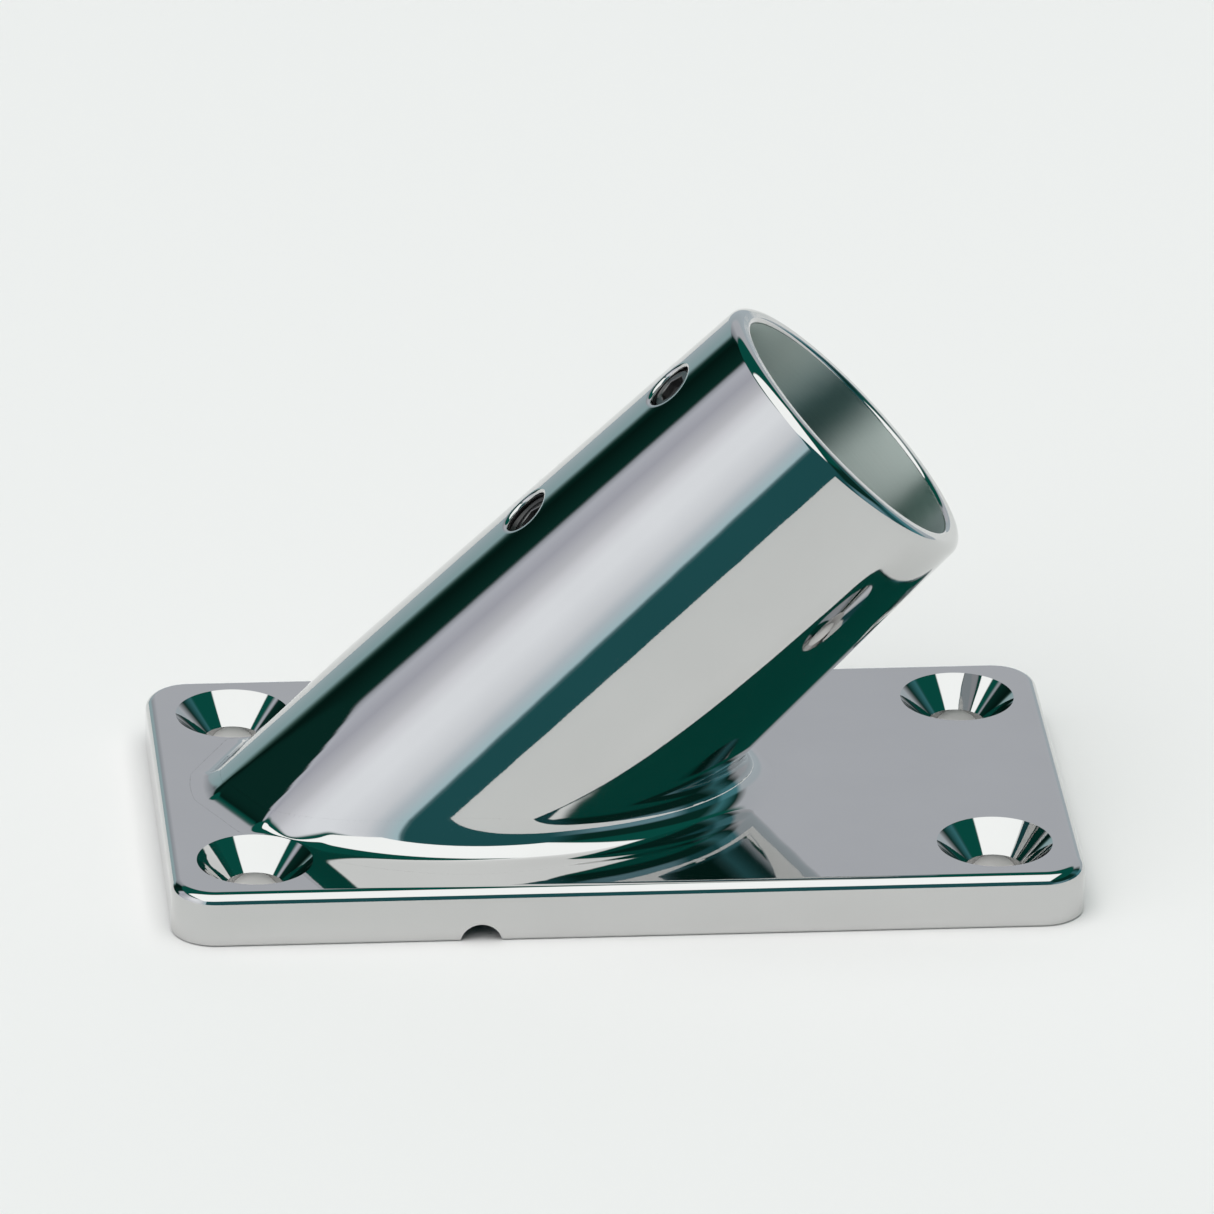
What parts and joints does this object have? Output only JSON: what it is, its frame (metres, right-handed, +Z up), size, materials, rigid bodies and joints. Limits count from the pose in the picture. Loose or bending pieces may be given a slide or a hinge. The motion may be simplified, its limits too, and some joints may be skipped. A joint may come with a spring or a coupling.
{
  "type": "stanchion base",
  "caption": "Rectangular deck plate with a tapered round socket that leans at 45 degrees and takes a rail stanchion tube, clamped by set screws.",
  "frame": {"origin": "centre of the deck plate's underside, on the deck", "axes": "+Z up off the deck, +X the way the socket leans, +Y across the plate"},
  "size_m": [0.082, 0.046, 0.0492],
  "materials": {
    "polished_stainless": "stainless steel, mirror polished",
    "polished_weld": "stainless weld metal, ground and mirror polished",
    "set_screw_stainless": "stainless steel, bright as machined"
  },
  "bodies": {
    "base": {"base_plate": "polished_stainless", "tube_socket": "polished_stainless", "foot_weld": "polished_weld"},
    "upper_screw": {"set_screw_upper": "set_screw_stainless"},
    "lower_screw": {"set_screw_lower": "set_screw_stainless"}
  },
  "joints": [
    {"name": "upper_screw_travel", "type": "slide", "parent": "base", "child": "upper_screw", "axis": [-0.7071, 0, 0.7071], "range_m": [-0.0008, 0.0016]},
    {"name": "lower_screw_travel", "type": "slide", "parent": "base", "child": "lower_screw", "axis": [-0.7071, 0, 0.7071], "range_m": [-0.0008, 0.0016]}
  ]
}
